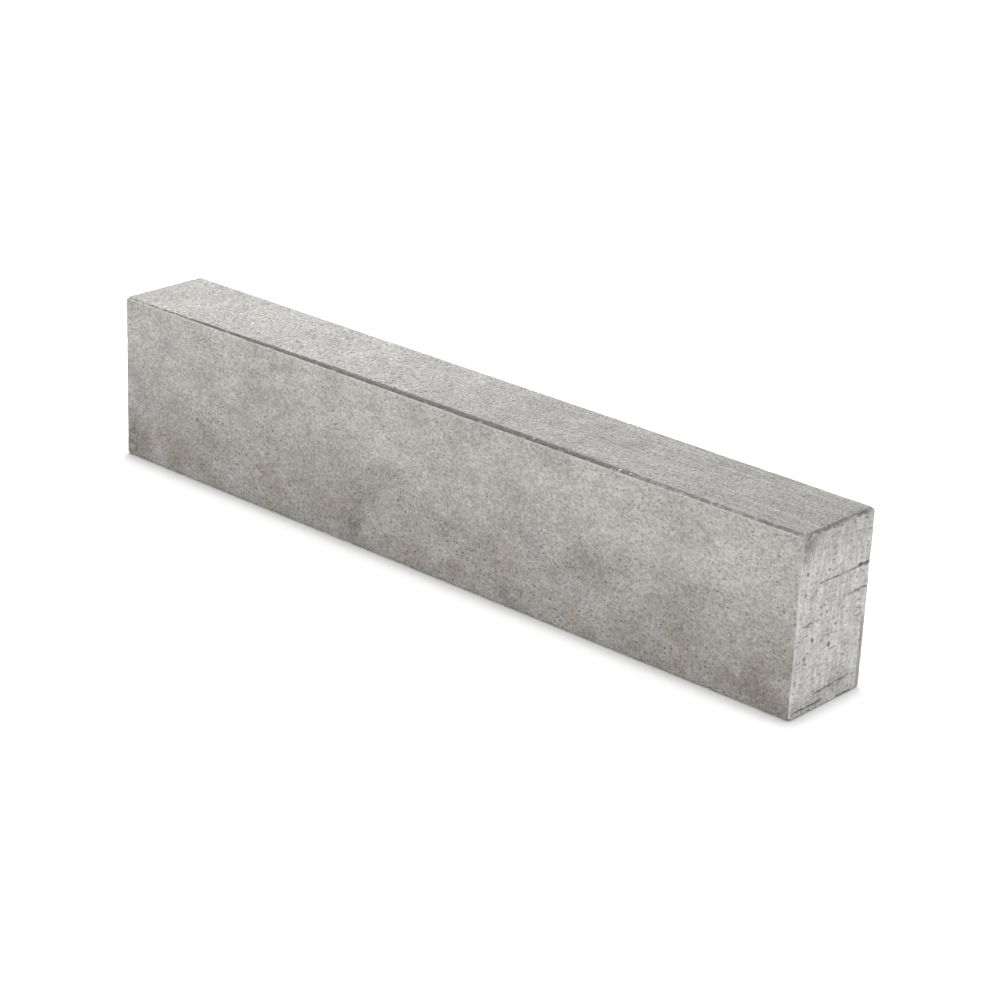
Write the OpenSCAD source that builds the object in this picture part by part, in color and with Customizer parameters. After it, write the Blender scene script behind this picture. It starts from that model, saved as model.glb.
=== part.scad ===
// Straight precast concrete kerb stone, cast as one solid piece.
// It stands on its bed face. Its length runs along X, its exposed face looks
// towards -Y, and the origin is the centre of the bed face.

/* [Stone] */
// Length of the stone along the kerb line, in mm
stone_length = 1000; // [500:10:1250]
// Width of the stone from the exposed face to the back, in mm
stone_width = 120; // [60:5:200]
// Height of the stone from the bed to the top, in mm
stone_height = 200; // [100:5:350]

/* [Arrises] */
// How far the top chamfer reaches in from each side face, in mm
chamfer_inset = 3; // [1:0.5:15]
// How far the top chamfer drops below the top face, in mm
chamfer_drop = 3; // [1:0.5:15]
// Radius of the four upright arrises, in mm
upright_radius = 1.5; // [0.5:0.5:10]

/* [Hidden] */
// Tone of the dry concrete
concrete_grey = [0.69, 0.68, 0.66];
// Segments in a full turn of an arris
arris_segments = 48;

// Upright profile of the stone: a rectangle on the bed, with its two top
// corners chamfered. It is drawn in X and Y, with the bed on the X axis.
module chamfered_profile(span) {
    half = span / 2;
    shoulder = stone_height - chamfer_drop;
    polygon([
        [-half, 0],
        [half, 0],
        [half, shoulder],
        [half - chamfer_inset, stone_height],
        [-half + chamfer_inset, stone_height],
        [-half, shoulder],
    ]);
}

// The profile seen from an end, drawn along the whole length
module cross_section_prism() {
    rotate([90, 0, 90])
        linear_extrude(height = stone_length, center = true)
            chamfered_profile(stone_width);
}

// The profile seen from the exposed face, drawn across the whole width
module long_section_prism() {
    rotate([90, 0, 0])
        linear_extrude(height = stone_width, center = true)
            chamfered_profile(stone_length);
}

// Sliver of concrete outside the round of the arris at the +X +Y corner
module upright_arris_waste() {
    reach = upright_radius * 2;
    corner_x = stone_length / 2 - upright_radius;
    corner_y = stone_width / 2 - upright_radius;
    translate([corner_x, corner_y, -reach])
        difference() {
            cube([reach, reach, stone_height + 2 * reach]);
            cylinder(
                h = stone_height + 2 * reach,
                r = upright_radius,
                $fn = arris_segments
            );
        }
}

// The whole stone: the two prisms give the chamfer on all four top edges, and
// the four upright arrises are rounded.
module kerb_stone() {
    color(concrete_grey)
        difference() {
            intersection() {
                cross_section_prism();
                long_section_prism();
            }
            for (side_x = [0, 1], side_y = [0, 1])
                mirror([side_x, 0, 0])
                    mirror([0, side_y, 0])
                        upright_arris_waste();
        }
}

kerb_stone();
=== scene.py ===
"""Looks of a straight precast concrete kerb stone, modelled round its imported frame.

The stone lies along X and stands on its bed. Its exposed face looks towards -Y.
All lengths are in metres, in the frame's own axes.
"""

from __future__ import annotations

import logging
import math
import random
from collections.abc import Callable
from dataclasses import dataclass, field, replace
from enum import Enum

import bpy
import numpy as np
from mathutils import Matrix, Vector, noise


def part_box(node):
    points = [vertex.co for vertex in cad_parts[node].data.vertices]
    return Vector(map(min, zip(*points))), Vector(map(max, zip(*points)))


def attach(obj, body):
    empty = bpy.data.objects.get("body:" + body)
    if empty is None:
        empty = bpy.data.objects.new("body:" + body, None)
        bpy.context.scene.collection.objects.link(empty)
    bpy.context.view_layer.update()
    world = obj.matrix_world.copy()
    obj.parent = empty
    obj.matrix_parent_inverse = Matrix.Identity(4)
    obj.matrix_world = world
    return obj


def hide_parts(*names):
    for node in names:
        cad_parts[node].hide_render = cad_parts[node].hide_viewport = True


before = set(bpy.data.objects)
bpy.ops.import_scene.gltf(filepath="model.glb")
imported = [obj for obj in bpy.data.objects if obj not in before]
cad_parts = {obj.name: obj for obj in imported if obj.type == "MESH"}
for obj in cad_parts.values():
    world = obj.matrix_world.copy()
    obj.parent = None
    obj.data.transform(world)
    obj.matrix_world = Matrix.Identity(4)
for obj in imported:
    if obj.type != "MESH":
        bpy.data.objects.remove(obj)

MM = 0.001
CAD_NODE = "kerb_stone"
BODY = "root"
LOG = logging.getLogger("kerb")

Colour = tuple[float, float, float]
Point = tuple[float, float, float]
Socket = bpy.types.NodeSocket
ORIGIN: Point = (0.0, 0.0, 0.0)
EVEN: Point = (1.0, 1.0, 1.0)


class Axis(Enum):
    """Axes of the stone, by their place in a coordinate."""

    LENGTH = 0
    WIDTH = 1
    HEIGHT = 2


class Side(Enum):
    """Sides with a finish of their own. The rest of the stone has the moulded skin."""

    TOP = "top_side"
    END = "end_side"


# ---- node bench ----


@dataclass
class NodeBench:
    """Adds and joins the nodes of one material, so that a finish reads as a recipe."""

    tree: bpy.types.NodeTree

    def add(self, kind: str, **settings: object) -> bpy.types.Node:
        """Add a node.

        Args:
            kind: Type name of the node.
            settings: Plain properties of the node and their values.

        Returns:
            The new node.
        """
        node = self.tree.nodes.new(kind)
        for name, value in settings.items():
            setattr(node, name, value)
        return node

    def feed(self, socket: Socket, value: object) -> None:
        """Join a socket to another one, or set it to a plain value.

        Args:
            socket: Input to fill.
            value: A socket, number, colour or vector.
        """
        if isinstance(value, bpy.types.NodeSocket):
            self.tree.links.new(value, socket)
        elif isinstance(value, tuple) and len(socket.default_value) == len(value) + 1:
            socket.default_value = (*value, 1.0)
        else:
            socket.default_value = value

    def place(self, shift: Point = ORIGIN, stretch: Point = EVEN) -> Socket:
        """Give the place on the stone for a pattern.

        Args:
            shift: How far the pattern is moved, so that two patterns differ.
            stretch: How much the pattern is squeezed along each axis.

        Returns:
            Socket with the place.
        """
        mapping = self.add("ShaderNodeMapping")
        self.feed(mapping.inputs["Vector"], self.add("ShaderNodeTexCoord").outputs["Object"])
        self.feed(mapping.inputs["Location"], shift)
        self.feed(mapping.inputs["Scale"], stretch)
        return mapping.outputs["Vector"]

    def cloud(
        self,
        grain: float,
        detail: float = 2.0,
        rough: float = 0.5,
        shift: Point = ORIGIN,
        stretch: Point = EVEN,
        warp: float = 0.0,
    ) -> Socket:
        """Add soft noise from 0 to 1.

        Args:
            grain: Size of its largest blots, in metres.
            detail: How many finer octaves it has.
            rough: How strong the finer octaves are.
            shift: Where the pattern starts.
            stretch: How much the pattern is squeezed along each axis.
            warp: How much the blots are bent.

        Returns:
            Socket with the noise.
        """
        texture = self.add("ShaderNodeTexNoise")
        self.feed(texture.inputs["Vector"], self.place(shift, stretch))
        self.feed(texture.inputs["Scale"], 1.0 / grain)
        self.feed(texture.inputs["Detail"], detail)
        self.feed(texture.inputs["Roughness"], rough)
        self.feed(texture.inputs["Distortion"], warp)
        return texture.outputs["Fac"]

    def spread(
        self, value: Socket, low: float, high: float, start: float = 0.0, end: float = 1.0
    ) -> Socket:
        """Stretch a value from low to high onto start to end, held at both and eased.

        Args:
            value: Socket to stretch.
            low: Value that gives start.
            high: Value that gives end.
            start: First result.
            end: Last result.

        Returns:
            Socket with the result.
        """
        node = self.add("ShaderNodeMapRange", interpolation_type="SMOOTHSTEP", clamp=True)
        for name, number in (
            ("Value", value),
            ("From Min", low),
            ("From Max", high),
            ("To Min", start),
            ("To Max", end),
        ):
            self.feed(node.inputs[name], number)
        return node.outputs["Result"]

    def sum(self, kind: str, first: object, second: object, held: bool = False) -> Socket:
        """Add a Math node.

        Args:
            kind: Its operation.
            first: First socket or number.
            second: Second socket or number.
            held: True to keep the result between 0 and 1.

        Returns:
            Socket with the result.
        """
        node = self.add("ShaderNodeMath", operation=kind, use_clamp=held)
        self.feed(node.inputs[0], first)
        self.feed(node.inputs[1], second)
        return node.outputs[0]

    def swing(self, value: Socket, amount: float) -> Socket:
        """Turn noise round one half into a factor round 1, amount strong."""
        return self.sum("ADD", self.sum("MULTIPLY", value, amount), 1.0 - amount / 2)

    def product(self, first: Socket, *others: object) -> Socket:
        """Multiply several factors, of which the first is a socket."""
        result = first
        for factor in others:
            result = self.sum("MULTIPLY", result, factor)
        return result

    def shade(self, colour: object, factor: Socket) -> Socket:
        """Make a colour lighter or darker by a factor."""
        node = self.add("ShaderNodeVectorMath", operation="SCALE")
        self.feed(node.inputs[0], colour)
        self.feed(node.inputs["Scale"], factor)
        return node.outputs["Vector"]

    def layer(self, share: object, under: object, over: object) -> Socket:
        """Lay one colour over another.

        Args:
            share: How much of the upper colour shows.
            under: Lower colour.
            over: Upper colour.

        Returns:
            Socket with the colour.
        """
        node = self.add("ShaderNodeMix", data_type="RGBA", clamp_factor=True)
        self.feed(node.inputs[0], share)
        self.feed(node.inputs[6], under)
        self.feed(node.inputs[7], over)
        return node.outputs[2]

    def between(self, share: object, under: object, over: object) -> Socket:
        """Mix two numbers, as layer() mixes colours."""
        node = self.add("ShaderNodeMix", data_type="FLOAT", clamp_factor=True)
        self.feed(node.inputs[0], share)
        self.feed(node.inputs[2], under)
        self.feed(node.inputs[3], over)
        return node.outputs[0]

    def attribute(self, name: str) -> Socket:
        """Read a number that the mesh carries."""
        node = self.add("ShaderNodeAttribute", attribute_name=name, attribute_type="GEOMETRY")
        return node.outputs["Fac"]

    def coordinate(self, axis: Axis) -> Socket:
        """Read one coordinate of the place on the stone."""
        split = self.add("ShaderNodeSeparateXYZ")
        self.feed(split.inputs[0], self.place())
        return split.outputs[axis.value]

    def to_side(self, axis: Axis, size: Vector) -> Socket:
        """Give how far each place is inside the nearer of the two sides square to an axis."""
        half = size[axis.value] / 2
        return self.sum("SUBTRACT", half, self.sum("ABSOLUTE", self.coordinate(axis), 0.0))

    def behind_face(self, size: Vector) -> Socket:
        """Give how far each place is behind the exposed face."""
        return self.sum("ADD", self.coordinate(Axis.WIDTH), size.y / 2)

    def below_top(self, size: Vector) -> Socket:
        """Give how far each place is below the top of the stone."""
        return self.sum("SUBTRACT", size.z, self.coordinate(Axis.HEIGHT))

    def within(self, gap: Socket, limit: object, edge: float) -> Socket:
        """Give 1 where a gap is under its limit and 0 past it, with an eased edge between."""
        return self.spread(self.sum("SUBTRACT", limit, gap), -edge / 2, edge / 2)

    def dots(self, cell: float, share: float, radius: float, shift: Point, stretch: Point) -> Socket:
        """Strew round dots.

        Args:
            cell: Mean distance between neighbouring places for a dot.
            share: Share of the places that get one.
            radius: Radius of a dot, in metres.
            shift: Where the pattern starts.
            stretch: How much the pattern is squeezed along each axis.

        Returns:
            1 in a dot and 0 outside.
        """
        texture = self.add("ShaderNodeTexVoronoi")
        self.feed(texture.inputs["Vector"], self.place(shift, stretch))
        self.feed(texture.inputs["Scale"], 1.0 / cell)
        split = self.add("ShaderNodeSeparateColor")
        self.feed(split.inputs[0], texture.outputs["Color"])
        middle, lot = texture.outputs["Distance"], split.outputs[0]
        chosen = self.spread(lot, 1.0 - share, 1.0 - share + 0.02)
        size = self.spread(lot, 1.0 - share, 1.0, 0.40 * radius / cell, radius / cell)
        return self.product(chosen, self.within(middle, size, 0.45 * radius / cell))


@dataclass(frozen=True)
class Coat:
    """What one finish gives: its colour and its height, in metres."""

    colour: Socket
    height: Socket


# ---- finishes ----


@dataclass(frozen=True)
class MouldedSkin:
    """Smooth cement skin that the steel mould leaves on the two long faces."""

    tone: Colour = (0.362, 0.3543, 0.3355)
    warm_tone: Colour = (0.312, 0.2845, 0.254)
    cool_tone: Colour = (0.316, 0.318, 0.299)
    speck_tone: Colour = (0.085, 0.081, 0.074)
    squeeze: Point = (0.75, 1.0, 1.0)
    warm_share: float = 0.85
    cool_share: float = 0.5
    darkest_at_foot: float = 0.80
    darkening_low: float = 0.062
    darkening_high: float = 0.158
    grain_height: float = 0.30 * MM

    def coat(self, bench: NodeBench) -> Coat:
        """Mix the skin.

        Args:
            bench: Bench of the material.

        Returns:
            Colour and height of the skin.
        """
        drift = bench.swing(bench.cloud(0.085, 2, 0.5, (3.1, 0.4, 1.7), self.squeeze, 0.6), 0.32)
        mottle = bench.swing(bench.cloud(0.028, 4, 0.85, (0.7, 5.2, 2.9), self.squeeze, 0.5), 0.95)
        fine = bench.swing(bench.cloud(0.0030, 2, 0.9, (6.3, 1.1, 0.2), self.squeeze), 1.60)
        wavy = bench.product(bench.cloud(0.055, 3, 0.6, (7.1, 2.2, 3.6)), 0.05)
        # Darker towards the bottom of the face, down to 0.80 at the foot, with a wavy upper edge.
        level = bench.sum("ADD", bench.coordinate(Axis.HEIGHT), bench.sum("SUBTRACT", wavy, 0.025))
        darker_to_foot = bench.spread(level, self.darkening_low, self.darkening_high, self.darkest_at_foot, 1.0)
        dimmed = bench.product(mottle, fine, darker_to_foot)
        low_down = bench.spread(bench.coordinate(Axis.HEIGHT), 0.02, 0.13, 1.0, 0.15)
        warm = bench.cloud(0.045, 3, 0.7, (8.8, 2.0, 4.4), self.squeeze)
        warm = bench.spread(warm, 0.42, 0.62, 0.0, self.warm_share)
        cool = bench.cloud(0.040, 3, 0.7, (1.2, 7.7, 9.4), self.squeeze)
        cool = bench.spread(cool, 0.52, 0.68, 0.0, self.cool_share)
        colour = bench.shade(self.tone, bench.product(drift, dimmed))
        colour = bench.layer(bench.product(warm, low_down), colour, bench.shade(self.warm_tone, dimmed))
        colour = bench.layer(cool, colour, bench.shade(self.cool_tone, dimmed))
        sandy = bench.spread(bench.cloud(0.030, 3, 0.7, (4.4, 4.1, 0.6), self.squeeze, 0.5), 0.36, 0.60)
        sandy = bench.sum("MAXIMUM", sandy, bench.spread(level, 0.02, 0.10, 0.9, 0.0))
        coarse = bench.dots(6.0 * MM, 0.34, 1.30 * MM, (2.2, 9.1, 5.5), (0.8, 1.0, 1.0))
        small = bench.dots(3.3 * MM, 0.40, 1.10 * MM, (5.2, 1.9, 8.5), (0.8, 1.0, 1.0))
        coarse = bench.product(coarse, bench.between(sandy, 0.25, 0.85))
        small = bench.product(small, bench.between(sandy, 0.15, 0.90))
        settled = bench.spread(bench.coordinate(Axis.HEIGHT), 0.06, 0.16, 1.0, 0.62)
        specks = bench.product(bench.sum("MAXIMUM", coarse, small), settled)
        height = bench.product(bench.sum("SUBTRACT", fine, specks), self.grain_height)
        return Coat(bench.layer(specks, colour, self.speck_tone), height)


@dataclass(frozen=True)
class WashedTop:
    """Open sandy top, with dark pores, pale grains, a few painted glints and trowel streaks near one
    end.
    """

    tone: Colour = (0.2955, 0.2896, 0.2762)
    pore_tone: Colour = (0.080, 0.077, 0.071)
    pale_grain_and_glint_tone: Colour = (0.78, 0.78, 0.76)
    streak_tone: Colour = (0.343, 0.3376, 0.3229)
    streak_share: float = 0.7
    pale_share: float = 0.42
    squeeze: Point = (1.25, 0.70, 1.0)
    grain_height: float = 0.45 * MM

    def coat(self, bench: NodeBench) -> Coat:
        """Mix the top.

        Args:
            bench: Bench of the material.

        Returns:
            Colour and height of the top.
        """
        along = bench.spread(bench.coordinate(Axis.LENGTH), 0.02, 0.22)
        drift = bench.swing(bench.cloud(0.060, 3, 0.6, (5.9, 3.3, 0.8), (1.0, 0.8, 1.0), 0.5), 0.62)
        clump = bench.swing(bench.cloud(0.0135, 3, 0.85, (2.5, 0.3, 7.1), self.squeeze), 0.55)
        fine = bench.swing(bench.cloud(0.0030, 2, 0.9, (0.9, 6.6, 3.8), self.squeeze), 2.05)
        trowelled = bench.swing(bench.cloud(0.006, 3, 0.7, (6.0, 2.5, 1.5), (0.06, 1.0, 1.0)), 0.60)
        trowelled = bench.product(bench.between(along, 1.0, trowelled), bench.between(along, 1.0, 0.95))
        colour = bench.shade(self.tone, bench.product(drift, clump, fine, trowelled))
        combed = bench.cloud(0.007, 3, 0.6, (3.0, 2.0, 1.0), (0.06, 1.0, 1.0))
        streaks = bench.product(bench.spread(combed, 0.50, 0.62, 0.0, self.streak_share), along)
        streaked = bench.shade(self.streak_tone, bench.product(clump, fine))
        colour = bench.layer(streaks, colour, streaked)
        coarse = bench.dots(6.5 * MM, 0.34, 1.75 * MM, (7.0, 0.1, 6.2), self.squeeze)
        small = bench.dots(3.5 * MM, 0.34, 1.25 * MM, (1.7, 4.1, 2.6), self.squeeze)
        pores = bench.sum("MAXIMUM", bench.product(coarse, 0.70), bench.product(small, 0.85))
        pores = bench.product(pores, bench.between(along, 1.0, 0.6))
        colour = bench.layer(pores, colour, self.pore_tone)
        pale = bench.cloud(0.0040, 1, 0.6, (3.7, 1.1, 7.6), self.squeeze)
        pale = bench.spread(pale, 0.65, 0.73, 0.0, self.pale_share)
        pale = bench.product(pale, bench.between(along, 1.0, 0.25))
        # Painted glints: a few white dots that stand for grains catching the light.
        painted_glints = bench.dots(5.5 * MM, 0.012, 1.5 * MM, (1.4, 8.2, 0.4), (1.0, 0.6, 1.0))
        painted_glints = bench.product(painted_glints, bench.between(along, 0.85, 0.5))
        pale_grains_and_glints = bench.sum("MAXIMUM", pale, painted_glints)
        # Pale grains and painted glints share one tone.
        colour = bench.layer(pale_grains_and_glints, colour, self.pale_grain_and_glint_tone)
        rise = bench.sum("ADD", bench.product(fine, clump), pale_grains_and_glints)
        height = bench.product(bench.sum("SUBTRACT", rise, pores), self.grain_height)
        return Coat(colour, height)


@dataclass(frozen=True)
class ChalkyEnd:
    """Pale end face, where cement milk dried in upright streaks over open sand."""

    tone: Colour = (0.468, 0.4580, 0.4480)
    milk_tone: Colour = (0.612, 0.6000, 0.5870)
    pore_tone: Colour = (0.110, 0.107, 0.100)
    # Painted shade: tone, strength and reach of the darker strip near the back upright arris.
    painted_shade_tone: Colour = (0.270, 0.262, 0.248)
    milk_share: float = 0.80
    painted_shade_share: float = 0.75
    painted_shade_fades: float = 0.072
    painted_shade_top: float = 0.089
    squeeze: Point = (1.0, 0.66, 1.0)
    grain_height: float = 0.40 * MM

    def coat(self, bench: NodeBench) -> Coat:
        """Mix the end face.

        Args:
            bench: Bench of the material.

        Returns:
            Colour and height of the end face.
        """
        drift = bench.swing(bench.cloud(0.050, 3, 0.6, (6.1, 1.3, 5.8), (1.0, 0.8, 1.0), 0.5), 0.45)
        clump = bench.swing(bench.cloud(0.012, 3, 0.85, (1.5, 6.3, 2.1), self.squeeze), 0.50)
        fine = bench.swing(bench.cloud(0.0036, 2, 0.9, (3.9, 1.6, 0.8), self.squeeze), 1.25)
        dragged = bench.swing(bench.cloud(0.0042, 2, 0.8, (0.6, 2.6, 3.8), (1.0, 0.16, 1.0)), 0.38)
        # Darker towards the top of the end face, down to 0.82 at the top arris.
        darkened = bench.spread(bench.coordinate(Axis.HEIGHT), 0.160, 0.198, 1.0, 0.82)
        grain = bench.product(fine, dragged, darkened)
        colour = bench.shade(self.tone, bench.product(drift, clump, grain))
        runs = bench.cloud(0.010, 3, 0.75, (3.3, 2.8, 1.1), (1.0, 1.0, 0.22))
        runs = bench.spread(runs, 0.44, 0.60, 0.0, self.milk_share)
        colour = bench.layer(runs, colour, bench.shade(self.milk_tone, grain))
        coarse = bench.dots(8.0 * MM, 0.34, 1.5 * MM, (7.4, 3.1, 2.2), self.squeeze)
        small = bench.cloud(0.0034, 1, 0.6, (2.4, 7.1, 5.2), (1.0, 0.4, 1.0))
        small = bench.spread(small, 0.60, 0.70)
        pores = bench.sum("MAXIMUM", bench.product(coarse, 0.75), bench.product(small, 0.48))
        colour = bench.layer(pores, colour, self.pore_tone)
        # Painted shade: a darker upright strip on the end face near the back arris, from the bed up to
        # about 89 mm, where the broken arris turns away from the light.
        wavy = bench.product(bench.cloud(0.012, 3, 0.7, (5.5, 5.1, 2.7)), 3.0 * MM)
        painted_shade_strip = bench.spread(bench.sum("ADD", bench.coordinate(Axis.WIDTH), wavy), 0.0520, 0.0540)
        height = bench.coordinate(Axis.HEIGHT)
        ends = bench.spread(height, self.painted_shade_fades, self.painted_shade_top, self.painted_shade_share, 0.0)
        painted_shade_strip = bench.product(painted_shade_strip, ends)
        colour = bench.layer(painted_shade_strip, colour, bench.shade(self.painted_shade_tone, grain))
        height = bench.product(bench.sum("SUBTRACT", grain, pores), self.grain_height)
        return Coat(colour, height)


@dataclass(frozen=True)
class ArrisShadeAndDirt:
    """Dark band along the top arrises, broad in the middle and fine at both ends: partly dark dirty
    cement on the chamfer and partly painted shade, as if the arris were recessed.
    """

    tone: Colour = (0.115, 0.112, 0.105)
    chip_tone: Colour = (0.60, 0.59, 0.57)
    lip_highlight_tone: Colour = (0.420, 0.412, 0.392)
    drop: float = 2.4 * MM
    end_drop: float = 3.4 * MM
    end_inset: float = 4.2 * MM
    lip_highlight_share: float = 0.30
    grain_height: float = 0.3 * MM

    def coat(self, bench: NodeBench) -> Coat:
        """Mix the band.

        Args:
            bench: Bench of the material.

        Returns:
            Colour and height of the band.
        """
        mottle = bench.swing(bench.cloud(0.0048, 3, 0.85, (2.6, 4.9, 7.3)), 2.3)
        chips = bench.dots(7.0 * MM, 0.30, 1.9 * MM, (9.9, 0.2, 3.1), (1.0, 0.8, 1.0))
        low = bench.spread(bench.coordinate(Axis.LENGTH), 0.10, 0.18)
        high = bench.spread(bench.coordinate(Axis.LENGTH), 0.28, 0.34, 1.0, 0.0)
        chips = bench.product(chips, bench.between(bench.product(low, high), 0.10, 0.80))
        colour = bench.layer(chips, bench.shade(self.tone, mottle), self.chip_tone)
        return Coat(colour, bench.product(mottle, self.grain_height))

    def ragged(self, bench: NodeBench, reach: float, shift: Point) -> Socket:
        """Give a waver of up to half a reach each way, for the edges of the band."""
        waver = bench.sum("SUBTRACT", bench.cloud(0.007, 3, 0.75, shift), 0.5)
        return bench.product(waver, reach)

    def share(self, bench: NodeBench, size: Vector) -> Socket:
        """Give where the band of dirt and painted shade lies.

        Args:
            bench: Bench of the material.
            size: Length, width and height of the stone.

        Returns:
            Share of the band at each place.
        """
        down = bench.below_top(size)
        along = bench.coordinate(Axis.LENGTH)
        from_face = bench.behind_face(size)
        grows = bench.spread(along, -0.50, -0.12, 1.9 * MM, 8.6 * MM)
        thins = bench.spread(along, 0.12, 0.44, 0.0, 2.2 * MM)
        mean_inset = bench.sum("SUBTRACT", grows, thins)
        inset = bench.sum("ADD", mean_inset, self.ragged(bench, 6.0 * MM, (0.4, 3.3, 6.9)))
        drop = bench.sum("ADD", self.ragged(bench, 1.4 * MM, (4.3, 0.3, 2.9)), self.drop)
        under = bench.within(down, drop, 0.7 * MM)
        over = bench.within(from_face, inset, 1.6 * MM)
        breaks = bench.spread(bench.cloud(0.014, 3, 0.8, (7.4, 6.1, 0.5)), 0.38, 0.58, 0.22, 0.85)
        fades = bench.between(bench.spread(along, 0.20, 0.40), 1.0, breaks)
        long_way = bench.product(under, over, fades)
        # Along the top of each end the band widens into a soft patch of dirt and painted shade, darker
        # away from the face.
        end_drop = bench.sum("ADD", self.ragged(bench, 12.0 * MM, (6.4, 5.3, 0.9)), self.end_drop)
        end_inset = bench.sum("ADD", self.ragged(bench, 10.0 * MM, (8.4, 1.3, 7.9)), self.end_inset)
        under = bench.within(down, end_drop, 3.5 * MM)
        over = bench.within(bench.to_side(Axis.LENGTH, size), end_inset, 4.0 * MM)
        from_corner = bench.spread(from_face, 4.0 * MM, 12.0 * MM, 0.15, 0.85)
        return bench.sum("MAXIMUM", long_way, bench.product(under, over, from_corner))

    def lip_highlight(self, bench: NodeBench, size: Vector) -> Socket:
        """Give the painted highlight: a pale line along the face just under the band."""
        from_face = bench.behind_face(size)
        under = bench.within(bench.below_top(size), 4.0 * MM, 1.6 * MM)
        return bench.product(under, bench.within(from_face, 2.5 * MM, 1.0 * MM), self.lip_highlight_share)


@dataclass(frozen=True)
class Stain:
    """A soft dark patch that soaked into one side."""

    middle: Point
    reach: float
    depth: float


FACE_STAINS = (
    Stain((-0.490, -0.06, 0.022), 0.050, 1.00),
    Stain((-0.232, -0.06, 0.128), 0.036, 0.30),
    Stain((-0.112, -0.06, 0.027), 0.032, 0.85),
    Stain((-0.112, -0.06, 0.051), 0.026, 0.60),
    Stain((0.115, -0.06, 0.136), 0.034, 0.25),
    Stain((0.122, -0.06, 0.016), 0.034, 0.45),
    Stain((0.296, -0.06, 0.014), 0.050, 0.45),
    Stain((0.454, -0.06, 0.022), 0.055, 0.50),
)
END_STAINS = (
    Stain((0.5, -0.056, 0.190), 0.030, 0.80),
    Stain((0.5, 0.021, 0.024), 0.026, 0.60),
    Stain((0.5, -0.050, 0.005), 0.030, 0.60),
    Stain((0.5, -0.013, 0.010), 0.022, 0.60),
)


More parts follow.
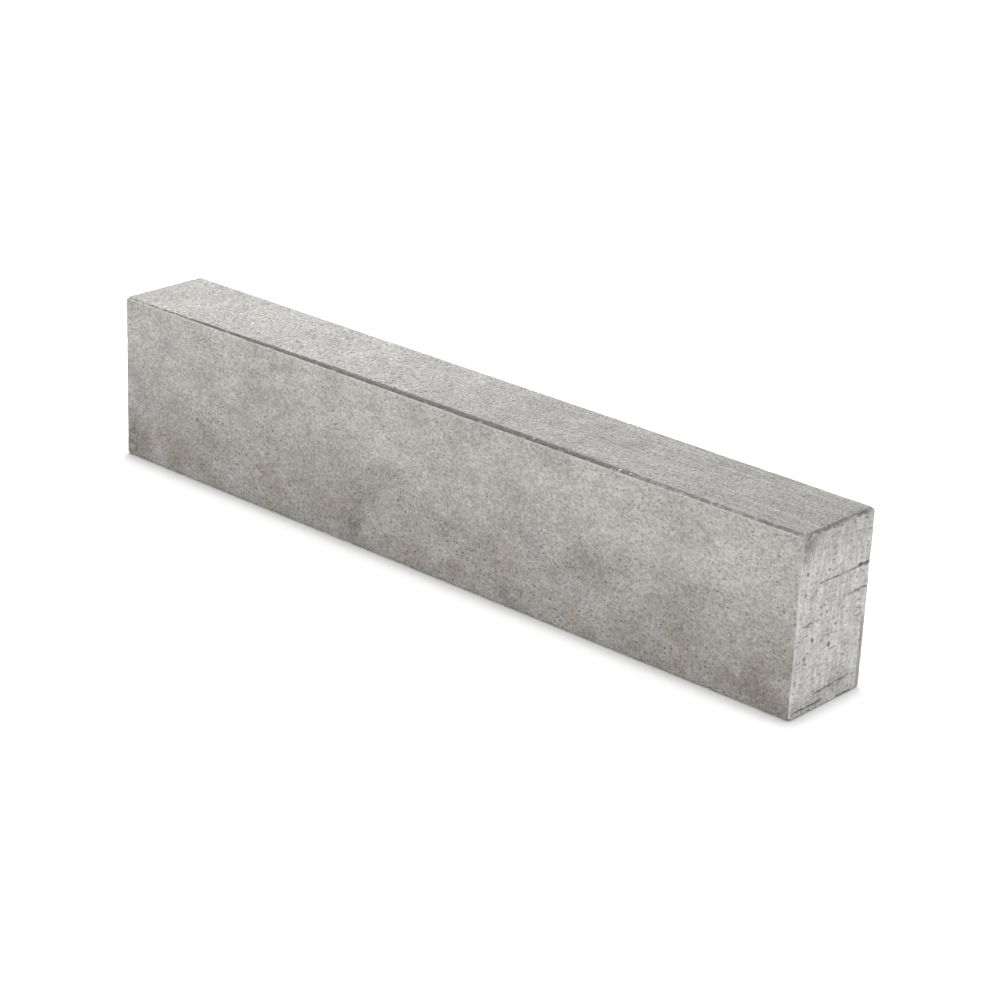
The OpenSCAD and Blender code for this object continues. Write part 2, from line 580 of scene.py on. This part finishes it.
@dataclass(frozen=True)
class StoneFinish:
    """Whole finish of the stone: each side's coat, the yard dirt low down, the wear, and painted shade
    and highlight along the arrises and in the grooves.
    """

    skin: MouldedSkin = field(default_factory=MouldedSkin)
    top: WashedTop = field(default_factory=WashedTop)
    end: ChalkyEnd = field(default_factory=ChalkyEnd)
    arris: ArrisShadeAndDirt = field(default_factory=ArrisShadeAndDirt)
    face_stains: tuple[Stain, ...] = FACE_STAINS
    end_stains: tuple[Stain, ...] = END_STAINS
    dirt_tone: Colour = (0.125, 0.112, 0.094)
    groove_shade_tone: Colour = (0.120, 0.115, 0.105)
    rubbed_tone: Colour = (0.640, 0.630, 0.605)
    broken_tone: Colour = (0.300, 0.290, 0.270)
    dirt_top: float = 0.060
    bed_dirt_share: float = 0.03
    groove_shade_share: float = 0.75
    smoothest: float = 0.84
    roughest: float = 0.98
    sheen: float = 0.35
    bump_strength: float = 0.8

    def darkened(self, bench: NodeBench, stains: tuple[Stain, ...]) -> Socket:
        """Give how strongly any of some stains shows at each place."""
        place = bench.place()
        strongest: object = 0.0
        for stain in stains:
            gap = bench.add("ShaderNodeVectorMath", operation="DISTANCE")
            bench.feed(gap.inputs[0], place)
            bench.feed(gap.inputs[1], stain.middle)
            spot = bench.spread(gap.outputs["Value"], 0.0, stain.reach, stain.depth, 0.0)
            strongest = bench.sum("MAXIMUM", strongest, spot)
        return strongest

    def dirt(self, bench: NodeBench) -> Socket:
        """Give the share of dirt, which gathers near the bed and in the stains."""
        on_end = bench.attribute(Side.END.value)
        height = bench.coordinate(Axis.HEIGHT)
        gathered = bench.spread(height, 0.0, self.dirt_top, self.bed_dirt_share, 0.0)
        face = self.darkened(bench, self.face_stains)
        end = self.darkened(bench, self.end_stains)
        gathered = bench.sum("MAXIMUM", gathered, bench.between(on_end, face, end))
        blots = bench.cloud(0.010, 4, 0.85, (5.1, 2.3, 8.0), warp=0.6)
        return bench.product(bench.spread(blots, 0.36, 0.60), gathered)

    def rubbed(self, bench: NodeBench, size: Vector) -> Socket:
        """Give the share of pale rubbed cement along the upright arrises."""
        to_end = bench.to_side(Axis.LENGTH, size)
        to_face = bench.to_side(Axis.WIDTH, size)
        line = bench.within(bench.sum("ADD", to_end, to_face), 2.3 * MM, 1.4 * MM)
        broken = bench.spread(bench.cloud(0.012, 3, 0.7, (8.1, 8.2, 0.3)), 0.34, 0.56, 0.50, 1.0)
        low_down = bench.spread(bench.coordinate(Axis.HEIGHT), 0.10, 0.175, 1.0, 0.15)
        return bench.product(line, broken, low_down)

    def chipped(self, bench: NodeBench) -> Socket:
        """Give the share of broken stone, where a chip was knocked out."""
        broken = bench.spread(bench.cloud(0.004, 2, 0.7, (1.1, 0.2, 6.3)), 0.40, 0.60, 0.35, 0.8)
        return bench.product(bench.attribute("chip"), broken)

    def material(self, size: Vector) -> bpy.types.Material:
        """Make the material.

        Args:
            size: Length, width and height of the stone.

        Returns:
            The finished material.
        """
        material = bpy.data.materials.new("weathered_concrete")
        material.use_nodes = True
        bench = NodeBench(material.node_tree)
        shader = material.node_tree.nodes["Principled BSDF"]
        skin = self.skin.coat(bench)
        colour, height = skin.colour, skin.height
        for side, finish in ((Side.TOP, self.top), (Side.END, self.end)):
            coat = finish.coat(bench)
            share = bench.attribute(side.value)
            colour = bench.layer(share, colour, coat.colour)
            height = bench.between(share, height, coat.height)
        colour = bench.layer(self.dirt(bench), colour, self.dirt_tone)
        colour = bench.layer(self.rubbed(bench, size), colour, self.rubbed_tone)
        # Painted highlight along the top of the face, under the arris band.
        colour = bench.layer(self.arris.lip_highlight(bench, size), colour, self.arris.lip_highlight_tone)
        # Dark arris band: partly dirt, partly painted shade.
        band = self.arris.coat(bench)
        share = self.arris.share(bench, size)
        colour = bench.layer(share, colour, band.colour)
        height = bench.between(share, height, band.height)
        colour = bench.layer(self.chipped(bench), colour, self.broken_tone)
        # Painted shade in the grooves and pits of the ends.
        painted_groove_shade = bench.spread(bench.attribute("groove_shade"), 0.05, 0.75, 0.0, self.groove_shade_share)
        colour = bench.layer(painted_groove_shade, colour, self.groove_shade_tone)
        bump = bench.add("ShaderNodeBump")
        bench.feed(bump.inputs["Strength"], self.bump_strength)
        bench.feed(bump.inputs["Distance"], 1.0)
        bench.feed(bump.inputs["Height"], height)
        wear = bench.cloud(0.02, 3, 0.7, (4.0, 4.0, 4.0))
        rough = bench.spread(wear, 0.3, 0.7, self.smoothest, self.roughest)
        bench.feed(shader.inputs["Base Color"], colour)
        bench.feed(shader.inputs["Roughness"], rough)
        bench.feed(shader.inputs["Normal"], bump.outputs["Normal"])
        shader.inputs["Specular IOR Level"].default_value = self.sheen
        return material


# ---- marks ----


@dataclass(frozen=True)
class Chip:
    """A scoop knocked out of an arris or a corner."""

    middle: Point
    reach: Point
    ragged: float = 0.30

    def knock(self, places: np.ndarray) -> np.ndarray:
        """Push the surface inside the scoop out to its wall.

        Args:
            places: Vertex places, changed in place.

        Returns:
            How deep each vertex was moved, in metres.
        """
        middle = np.array(self.middle)
        reach = np.array(self.reach)
        from_middle = (places - middle) / reach
        far = np.linalg.norm(from_middle, axis=1)
        near = np.flatnonzero(far < 1.0 + self.ragged)
        moved = np.zeros(len(places))
        for index in near:
            way = Vector(from_middle[index] / max(far[index], 1e-6))
            wall = 1.0 + self.ragged * noise.noise(way * 2.1 + Vector(self.middle) * 400.0)
            if far[index] < wall:
                target = middle + reach * np.array(way) * wall
                moved[index] = np.linalg.norm(target - places[index])
                places[index] = target
        return moved


@dataclass(frozen=True)
class Groove:
    """A scratch, crack or notch in an end face, from one place on it to another."""

    start: tuple[float, float]
    stop: tuple[float, float]
    width: float
    depth: float
    ragged: float = 0.5
    wander: float = 2.0 * MM

    def share(self, across: np.ndarray, up: np.ndarray) -> np.ndarray:
        """Give how deep the groove is at each place, from 0 to 1.

        Args:
            across: Places across the stone.
            up: Places up the stone.

        Returns:
            Depth at each place, as a share of the groove's own.
        """
        start, stop = np.array(self.start), np.array(self.stop)
        run = stop - start
        length = max(float(np.linalg.norm(run)), 1e-9)
        sway = np.array([noise.noise((place * 90.0, self.start[1] * 50.0, 0.0)) for place in across])
        at = np.stack([across, up + self.wander * sway], axis=1) - start
        along = np.clip(at @ run / length**2, 0.0, 1.0)
        off = np.linalg.norm(at - along[:, None] * run, axis=1)
        near = np.flatnonzero(off < self.width)
        depth = np.zeros(len(across))
        for index in near:
            spot = Vector((across[index], up[index], self.width)) * 260.0
            half = 0.5 * self.width * max(0.1, 1.0 + self.ragged * noise.noise(spot))
            depth[index] = max(0.0, 1.0 - (off[index] / half) ** 2)
        return depth


def pit(place: tuple[float, float], size: float, depth: float) -> Groove:
    """Make a round blowhole, which is a groove of no length."""
    return Groove(place, place, size, depth, 0.35, 0.0)


NEAR_END_GROOVES = (
    Groove((0.040, 0.1423), (0.0595, 0.1411), 4.8 * MM, 1.7 * MM, 0.9),
    Groove((-0.028, 0.1412), (0.043, 0.1403), 1.9 * MM, 0.9 * MM, 1.3),
    Groove((-0.045, 0.1383), (-0.028, 0.1412), 1.5 * MM, 0.5 * MM, 1.3),
    Groove((-0.046, 0.1305), (-0.016, 0.1295), 1.4 * MM, 0.45 * MM, 1.5),
    Groove((0.036, 0.1147), (0.0595, 0.1137), 2.4 * MM, 1.3 * MM, 1.0),
    Groove((0.016, 0.1162), (0.036, 0.1147), 1.5 * MM, 0.6 * MM, 1.4),
    Groove((0.040, 0.0862), (0.054, 0.0857), 1.6 * MM, 0.6 * MM, 1.2),
    Groove((-0.049, 0.0995), (-0.024, 0.1010), 1.9 * MM, 0.8 * MM, 1.2),
    Groove((-0.047, 0.1270), (-0.008, 0.1280), 1.3 * MM, 0.35 * MM, 1.5),
    Groove((-0.050, 0.0065), (-0.007, 0.0080), 2.8 * MM, 1.5 * MM, 1.1),
    Groove((0.020, 0.0025), (0.045, 0.0022), 2.4 * MM, 1.1 * MM, 1.1),
    Groove((-0.020, 0.0182), (0.009, 0.0203), 3.4 * MM, 0.9 * MM, 1.7),
    Groove((0.009, 0.0203), (0.037, 0.0212), 2.8 * MM, 0.8 * MM, 1.7),
    pit((-0.048, 0.157), 5.6 * MM, 1.5 * MM),
    pit((-0.012, 0.152), 4.4 * MM, 1.3 * MM),
    pit((-0.021, 0.114), 4.6 * MM, 1.2 * MM),
    pit((-0.010, 0.106), 3.6 * MM, 1.1 * MM),
    pit((-0.001, 0.067), 6.0 * MM, 2.0 * MM),
    pit((-0.031, 0.081), 5.8 * MM, 1.5 * MM),
    pit((-0.042, 0.063), 5.4 * MM, 1.5 * MM),
    pit((0.008, 0.087), 4.8 * MM, 1.5 * MM),
    pit((-0.049, 0.134), 4.6 * MM, 1.2 * MM),
)


# ---- stone ----


def edit(operator: Callable[..., set[str]], **settings: object) -> None:
    """Run one operator in edit mode, on what is selected."""
    bpy.ops.object.mode_set(mode="EDIT")
    operator(**settings)
    bpy.ops.object.mode_set(mode="OBJECT")


def read_points(group: bpy.types.bpy_prop_collection, name: str) -> np.ndarray:
    """Read a vector that every item of a mesh list has."""
    found = np.empty(len(group) * 3, np.float64)
    group.foreach_get(name, found)
    return found.reshape(-1, 3)


@dataclass
class KerbBlock:
    """The stone itself: one cast block with chamfered top arrises."""

    low: Vector
    high: Vector
    finish: StoneFinish = field(default_factory=StoneFinish)
    name: str = "kerb_block"
    chamfer: float = 3.0 * MM
    upright_round: float = 1.5 * MM
    bed_round: float = 1.2 * MM
    pitch: float = 3.7 * MM
    long_pitch: float = 4.4 * MM
    rim: float = 10.0 * MM
    fine_rim: float = 6.5 * MM
    parts_a_block: int = 17
    groove_margin: float = 1.6
    waviness_grain: float = 75.0 * MM
    waviness_depth: float = 0.5 * MM
    ragged_grain: float = 8.5 * MM
    ragged_depth: float = 1.5 * MM
    ragged_reach: float = 2.2 * MM
    crown_shift: float = 0.15
    crown_fall_mm: float = 0.75
    crown_lean_mm: float = 0.35
    chip_fade: float = 0.8 * MM
    # Depth from which a groove gets its full painted shade.
    deep_groove: float = 1.2 * MM
    top_chips: int = 26
    bed_chips: int = 34
    upright_chips: int = 9
    end_chips: int = 7
    far_scratches: int = 5
    far_pits: int = 9
    seed: int = 20
    body: bpy.types.Object | None = None

    @property
    def middle(self) -> Vector:
        """Middle of the block."""
        return (self.low + self.high) / 2

    @property
    def size(self) -> Vector:
        """Length, width and height of the block."""
        return self.high - self.low

    def build(self) -> bpy.types.Object:
        """Model the block and dress it.

        Returns:
            The finished piece.
        """
        self.rough_out()
        self.cut_arrises()
        self.mark_out_map()
        self.cut_grid()
        self.label_sides()
        self.wear_surface()
        self.body.data.materials.clear()
        self.body.data.materials.append(self.finish.material(self.size))
        return self.body

    def rough_out(self) -> None:
        """Add the plain block that the rest is cut from."""
        bpy.ops.object.select_all(action="DESELECT")
        bpy.ops.mesh.primitive_cube_add(size=1.0, location=self.middle, scale=self.size)
        self.body = bpy.context.active_object
        self.body.name = self.name
        self.body.data.name = self.name
        bpy.ops.object.transform_apply(location=True, rotation=True, scale=True)

    def ends_of_edges(self) -> tuple[np.ndarray, np.ndarray]:
        """Give the places of both ends of every edge."""
        mesh = self.body.data
        places = self.places()
        pairs = np.empty(len(mesh.edges) * 2, np.int32)
        mesh.edges.foreach_get("vertices", pairs)
        pairs = pairs.reshape(-1, 2)
        return places[pairs[:, 0]], places[pairs[:, 1]]

    def places(self) -> np.ndarray:
        """Give the place of every vertex."""
        return read_points(self.body.data.vertices, "co")

    def put(self, places: np.ndarray) -> None:
        """Move every vertex to its new place."""
        self.body.data.vertices.foreach_set("co", places.ravel())
        self.body.data.update()

    def pick(self, what: str, chosen: np.ndarray) -> None:
        """Select some edges or faces and nothing else, ready for edit mode.

        Args:
            what: "edges" or "polygons".
            chosen: True for each one to select.
        """
        mesh = self.body.data
        mode = (False, True, False) if what == "edges" else (False, False, True)
        bpy.context.scene.tool_settings.mesh_select_mode = mode
        for group in (mesh.vertices, mesh.edges, mesh.polygons):
            group.foreach_set("select", np.zeros(len(group), bool))
        if what == "edges":
            mesh.edges.foreach_set("select", chosen)
        else:
            mesh.polygons.foreach_set("select", chosen)

    def cut_arrises(self) -> None:
        """Chamfer the top arrises and round the upright and bed arrises."""
        first, second = self.ends_of_edges()
        at_top = (first[:, 2] > self.high.z - 1e-6) & (second[:, 2] > self.high.z - 1e-6)
        self.bevel(at_top, self.chamfer, 1)
        first, second = self.ends_of_edges()
        self.bevel(np.abs(first - second)[:, 2] > self.chamfer / 2, self.upright_round, 2)
        first, second = self.ends_of_edges()
        at_bed = (first[:, 2] < self.low.z + 1e-6) & (second[:, 2] < self.low.z + 1e-6)
        self.bevel(at_bed, self.bed_round, 2)

    def bevel(self, chosen: np.ndarray, width: float, steps: int) -> None:
        """Bevel the chosen edges.

        Args:
            chosen: True for each edge to bevel.
            width: How far the bevel reaches along each side.
            steps: How many faces it has across.
        """
        self.pick("edges", chosen)
        edit(bpy.ops.mesh.bevel, offset_type="OFFSET", offset=width, segments=steps, profile=0.5)

    def mark_out_map(self) -> None:
        """Lay the sides out flat, side by side, while the block has few faces."""
        self.body.data.uv_layers.new(name="OFBake")
        edit(bpy.ops.mesh.select_all, action="SELECT")
        edit(bpy.ops.uv.smart_project, angle_limit=1.15, island_margin=0.004, scale_to_bounds=False)

    def slice(self, axis: Axis, at: float) -> None:
        """Cut the whole surface along a plane.

        Args:
            axis: Axis square to the plane.
            at: Where the plane is on that axis.
        """
        place, square = [0.0] * 3, [0.0] * 3
        place[axis.value] = at
        square[axis.value] = 1.0
        edit(bpy.ops.mesh.select_all, action="SELECT")
        edit(bpy.ops.mesh.bisect, plane_co=place, plane_no=square)

    def ring(self, axis: Axis, low: float, high: float, cuts: int) -> None:
        """Cut the edges that run along an axis into equal parts, between two places on it.

        Args:
            axis: Axis that the edges run along.
            low: Where the stretch starts.
            high: Where it ends.
            cuts: How many cuts each edge gets.
        """
        first, second = self.ends_of_edges()
        run = np.abs(second - first)
        straight = run[:, axis.value] > 0.9 * np.linalg.norm(run, axis=1)
        at = (first + second)[:, axis.value] / 2
        self.pick("edges", straight & (at > low) & (at < high))
        edit(bpy.ops.mesh.subdivide, number_cuts=cuts)

    def refine(self, chosen: np.ndarray) -> None:
        """Cut the chosen faces once each way."""
        self.pick("polygons", chosen)
        edit(bpy.ops.mesh.subdivide, number_cuts=1, ngon=False)

    def face_facts(self) -> tuple[np.ndarray, np.ndarray]:
        """Give the middle and the normal of every face."""
        faces = self.body.data.polygons
        return read_points(faces, "center"), read_points(faces, "normal")

    def arris_distance(self, places: np.ndarray) -> np.ndarray:
        """Give how far each place on the surface is from the nearest arris."""
        low, high = np.array(self.low), np.array(self.high)
        to_sides = np.minimum(places - low, high - places)
        return np.sort(to_sides, axis=1)[:, 1]

    def cut_grid(self) -> None:
        """Cut the surface into a grid that is fine along the arrises and on the near end."""
        for axis in Axis:
            at = axis.value
            low, high = self.low[at] + self.rim, self.high[at] - self.rim
            self.slice(axis, low)
            self.slice(axis, high)
            pitch = self.long_pitch if axis is Axis.LENGTH else self.pitch
            parts = max(1, round((high - low) / pitch))
            blocks = max(1, round(parts / self.parts_a_block))
            if blocks > 1:
                self.ring(axis, low, high, blocks - 1)
            self.ring(axis, low, high, round(parts / blocks) - 1)
            self.ring(axis, -1.0, low, 2)
            self.ring(axis, high, 1.0, 2)
        middles, _ = self.face_facts()
        self.refine(self.arris_distance(middles) < self.fine_rim)
        _, normals = self.face_facts()
        sloped = (normals[:, 2] > 0.2) & (normals[:, 2] < 0.95)
        self.refine(sloped | (normals[:, 0] > 0.95))
        middles, normals = self.face_facts()
        near = np.zeros(len(middles), bool)
        for end, grooves in ((1.0, NEAR_END_GROOVES), (-1.0, self.far_end_grooves())):
            face = np.flatnonzero(normals[:, 0] * end > 0.95)
            for groove in grooves:
                wide = replace(groove, width=groove.width * self.groove_margin, ragged=0.0)
                near[face[wide.share(middles[face, 1], middles[face, 2]) > 0.0]] = True
        self.refine(near)

    def label_sides(self) -> None:
        """Write onto the mesh which side each face belongs to."""
        mesh = self.body.data
        _, normals = self.face_facts()
        upward = normals[:, 2]
        labels = {
            Side.TOP: upward > 0.9,
            Side.END: (np.abs(normals[:, 0]) > 0.75) & (np.abs(upward) < 0.3),
        }
        counts = np.empty(len(mesh.polygons), np.int32)
        mesh.polygons.foreach_get("loop_total", counts)
        for side, on_side in labels.items():
            layer = mesh.attributes.new(side.value, "FLOAT", "CORNER")
            layer.data.foreach_set("value", np.repeat(on_side.astype(np.float32), counts))

    def wear_surface(self) -> None:
        """Give the surface its waviness, ragged arrises, chips, grooves and pits."""
        nominal = self.places()
        to_arris = self.arris_distance(nominal)
        everywhere, near_arris = np.ones(len(nominal)), np.exp(-to_arris / self.ragged_reach)
        self.ripple("casting_waviness", self.waviness_grain, self.waviness_depth, everywhere)
        self.ripple("ragged_arris", self.ragged_grain, self.ragged_depth, near_arris)
        places = self.places()
        self.settle_crown(places)
        chipped = np.zeros(len(places))
        for chip in self.chips():
            chipped = np.maximum(chipped, chip.knock(places))
        groove_shading = self.cut_grooves(places, nominal)
        np.clip(places, np.array(self.low), np.array(self.high), out=places)
        self.put(places)
        self.note("groove_shade", groove_shading)
        self.note("chip", np.clip(chipped / self.chip_fade, 0.0, 1.0))

    def note(self, name: str, values: np.ndarray) -> None:
        """Write one number a vertex onto the mesh."""
        layer = self.body.data.attributes.new(name, "FLOAT", "POINT")
        layer.data.foreach_set("value", values.astype(np.float32))

    def ripple(self, name: str, grain: float, depth: float, weights: np.ndarray) -> None:
        """Press soft noise into the surface.

        Args:
            name: What the noise stands for.
            grain: Size of its blots.
            depth: How deep it goes at most.
            weights: Share of the depth at each vertex.
        """
        texture = bpy.data.textures.new(name, "CLOUDS")
        texture.noise_scale = grain
        texture.noise_depth = 2
        group = self.body.vertex_groups.new(name=name)
        steps = np.round(weights * 20).astype(int)
        for step in range(1, 21):
            chosen = np.flatnonzero(steps == step)
            if len(chosen):
                group.add(chosen.tolist(), step / 20, "REPLACE")
        ripple = self.body.modifiers.new(name, "DISPLACE")
        ripple.texture = texture
        ripple.texture_coords = "LOCAL"
        ripple.direction = "NORMAL"
        ripple.mid_level = 0.0
        ripple.strength = -depth
        ripple.vertex_group = name
        bpy.ops.object.modifier_apply(modifier=name)

    def settle_crown(self, places: np.ndarray) -> None:
        """Lower the top towards both ends, most along the back, as the mould left it."""
        peak = self.middle.x - self.crown_shift * self.size.x
        along = ((places[:, 0] - peak) / (self.high.x - peak)) ** 2
        back = 2 * (places[:, 1] - self.middle.y) / self.size.y
        up = ((places[:, 2] - self.low.z) / self.size.z) ** 2
        places[:, 2] -= (self.crown_fall_mm + self.crown_lean_mm * back) * MM * along * up

    def chips(self) -> list[Chip]:
        """List the chips: the large ones by place, and small ones strewn along the arrises.

        Returns:
            Every chip.
        """
        x, y = self.high.x, self.high.y
        top, bed = self.high.z, self.low.z
        found = [
            Chip((x, y, bed), (4.0 * MM, 4.0 * MM, 3.0 * MM)),
            Chip((-x, -y, top), (3.0 * MM, 12.0 * MM, 4.5 * MM)),
            Chip((x, -y, top), (7.0 * MM, 6.0 * MM, 5.0 * MM), 0.2),
            Chip((x, -y, bed), (3.5 * MM, 3.5 * MM, 4.0 * MM)),
            Chip((-x, -y, bed), (4.0 * MM, 5.0 * MM, 3.0 * MM)),
        ]
        draw = random.Random(self.seed)
        rows = ((top, self.top_chips, 3.0, 4.3), (bed, self.bed_chips, 1.2, 3.2))
        for side in (-y, y):
            for level, number, least, most in rows:
                for _ in range(number):
                    run, bite = draw.uniform(2.0, 7.0) * MM, draw.uniform(least, most) * MM
                    spot = (draw.uniform(-0.97, 0.97) * x, side, level)
                    found.append(Chip(spot, (run, bite, bite)))
            for end in (-x, x):
                for _ in range(self.upright_chips):
                    run, bite = draw.uniform(1.5, 4.5) * MM, draw.uniform(0.8, 1.9) * MM
                    spot = (end, side, draw.uniform(0.06, 0.92) * top)
                    found.append(Chip(spot, (bite, bite, run)))
        for end in (-x, x):
            for level in (bed, top):
                least, most = (1.2, 3.6) if level == bed else (3.0, 4.3)
                for _ in range(self.end_chips):
                    run, bite = draw.uniform(2.0, 6.0) * MM, draw.uniform(least, most) * MM
                    spot = (end, draw.uniform(-0.85, 0.85) * y, level)
                    found.append(Chip(spot, (bite, run, bite)))
        return found

    def far_end_grooves(self) -> list[Groove]:
        """Make up the far end's own pits and scratches, of the kinds that the near end has."""
        draw = random.Random(self.seed + 1)
        half, tall = self.high.y * 0.9, self.size.z
        found = []
        for _ in range(self.far_scratches):
            across, up = draw.uniform(-half, half * 0.3), draw.uniform(0.05, 0.95) * tall
            stop = (across + draw.uniform(15, 60) * MM, up + draw.uniform(-2, 2) * MM)
            found.append(Groove((across, up), stop, draw.uniform(2.2, 4.5) * MM, 1.4 * MM))
        for _ in range(self.far_pits):
            spot = (draw.uniform(-half, half), draw.uniform(0.06, 0.94) * tall)
            found.append(pit(spot, draw.uniform(3.5, 6.0) * MM, 1.4 * MM))
        return found

    def cut_grooves(self, places: np.ndarray, nominal: np.ndarray) -> np.ndarray:
        """Cut the grooves and pits of both ends.

        Args:
            places: Vertex places, changed in place.
            nominal: Vertex places before any wear.

        Returns:
            Share of painted shade in a groove at each vertex, more for deeper grooves.
        """
        groove_shading = np.zeros(len(places))
        for end, grooves in ((1.0, NEAR_END_GROOVES), (-1.0, self.far_end_grooves())):
            face = np.flatnonzero(nominal[:, 0] * end > self.high.x - self.upright_round)
            for groove in grooves:
                share = groove.share(nominal[face, 1], nominal[face, 2])
                places[face, 0] -= end * share * groove.depth
                # Painted shade in the groove: deeper grooves get darker.
                darkness = min(1.0, groove.depth / self.deep_groove)
                groove_shading[face] = np.maximum(groove_shading[face], share * darkness)
        return groove_shading


# ---- studio ----


@dataclass(frozen=True)
class Panel:
    """A square soft light that hangs at a spot and faces a target."""

    name: str
    spot: Point
    target: Point
    side: float
    power: float

    def hang(self) -> None:
        """Add the light."""
        spot = Vector(self.spot)
        bpy.ops.object.light_add(type="AREA", location=spot)
        panel = bpy.context.active_object
        panel.name = self.name
        panel.data.size = self.side
        panel.data.energy = self.power
        panel.rotation_euler = (spot - Vector(self.target)).to_track_quat("Z", "Y").to_euler()


PANELS = (
    Panel("front_panel", (2.0, -4.2, 1.5), (0.0, 0.0, 0.1), 3.0, 80.0),
    Panel("far_end_panel", (-0.48, 0.30, 1.00), (-0.34, 0.0, 0.2), 0.5, 7.6),
)


@dataclass
class Studio:
    """White floor, even white light from all round, a soft lamp overhead and soft panels."""

    floor_side: float = 60.0
    floor_tone: Colour = (0.94, 0.94, 0.94)
    sky_strength: float = 0.66
    lamp_strength: float = 0.42 * math.pi
    lamp_blur_deg: float = 7.0
    lamp_lean_deg: float = 3.6
    panels: tuple[Panel, ...] = PANELS

    def build(self, target: Vector) -> None:
        """Set up the floor, the light and the camera.

        Args:
            target: Middle of the stone.
        """
        self.lay_floor()
        self.hang_lights()
        Camera().build(target)

    def lay_floor(self) -> None:
        """Add the floor at the level that the stone stands on."""
        bpy.ops.object.select_all(action="DESELECT")
        bpy.ops.mesh.primitive_plane_add(size=self.floor_side)
        floor = bpy.context.active_object
        floor.name = "studio_floor"
        material = bpy.data.materials.new("matt_white_paper")
        material.use_nodes = True
        shader = material.node_tree.nodes["Principled BSDF"]
        shader.inputs["Base Color"].default_value = (*self.floor_tone, 1.0)
        shader.inputs["Roughness"].default_value = 1.0
        shader.inputs["Specular IOR Level"].default_value = 0.0
        floor.data.materials.append(material)

    def hang_lights(self) -> None:
        """Add the even light, the overhead lamp and the panels."""
        world = bpy.data.worlds.new("studio_light")
        world.use_nodes = True
        background = world.node_tree.nodes["Background"]
        background.inputs["Color"].default_value = (1.0, 1.0, 1.0, 1.0)
        background.inputs["Strength"].default_value = self.sky_strength
        bpy.context.scene.world = world
        bpy.ops.object.light_add(type="SUN")
        lamp = bpy.context.active_object
        lamp.name = "overhead_lamp"
        lamp.data.energy = self.lamp_strength
        lamp.data.angle = math.radians(self.lamp_blur_deg)
        lean = math.radians(self.lamp_lean_deg)
        comes_from = Vector((-math.sin(lean) * 0.6, math.sin(lean) * 0.8, math.cos(lean)))
        lamp.rotation_euler = comes_from.to_track_quat("Z", "Y").to_euler()
        for panel in self.panels:
            panel.hang()


@dataclass
class Camera:
    """Long lens that looks down on the near end and the exposed face."""

    azimuth_deg: float = 41.31
    elevation_deg: float = 21.91
    roll_deg: float = 2.46
    distance: float = 3.043
    slide: float = 0.0389
    drop: float = 0.0259
    lens_mm: float = 99.05
    sensor_mm: float = 36.0

    def build(self, target: Vector) -> None:
        """Add the camera.

        Args:
            target: Middle of the stone.
        """
        turn, lift = math.radians(self.azimuth_deg), math.radians(self.elevation_deg)
        roll = math.radians(self.roll_deg)
        flat = math.cos(lift)
        back = Vector((math.sin(turn) * flat, -math.cos(turn) * flat, math.sin(lift)))
        level = Vector((0.0, 0.0, 1.0)).cross(back).normalized()
        plumb = back.cross(level)
        right = math.cos(roll) * level + math.sin(roll) * plumb
        up = math.cos(roll) * plumb - math.sin(roll) * level
        spot = target + back * self.distance + right * self.slide - up * self.drop
        data = bpy.data.cameras.new("studio_camera")
        data.lens = self.lens_mm
        data.sensor_width = self.sensor_mm
        data.clip_end = 200.0
        camera = bpy.data.objects.new("studio_camera", data)
        bpy.context.scene.collection.objects.link(camera)
        axes = Matrix((right, up, back)).transposed()
        camera.matrix_world = Matrix.Translation(spot) @ axes.to_4x4()
        bpy.context.scene.camera = camera


# ---- main ----


def main() -> None:
    """Build the stone and its studio."""
    logging.basicConfig(level=logging.INFO, format="%(name)s: %(message)s")
    bpy.context.scene.view_settings.view_transform = "Standard"
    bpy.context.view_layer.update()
    low, high = (Vector(corner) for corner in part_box(CAD_NODE))
    block = KerbBlock(low, high)
    stone = block.build()
    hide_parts(CAD_NODE)
    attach(stone, BODY)
    stone.data.calc_loop_triangles()
    LOG.info("%s: %d triangles", stone.name, len(stone.data.loop_triangles))
    Studio().build(block.middle)


if __name__ == "__main__":
    main()
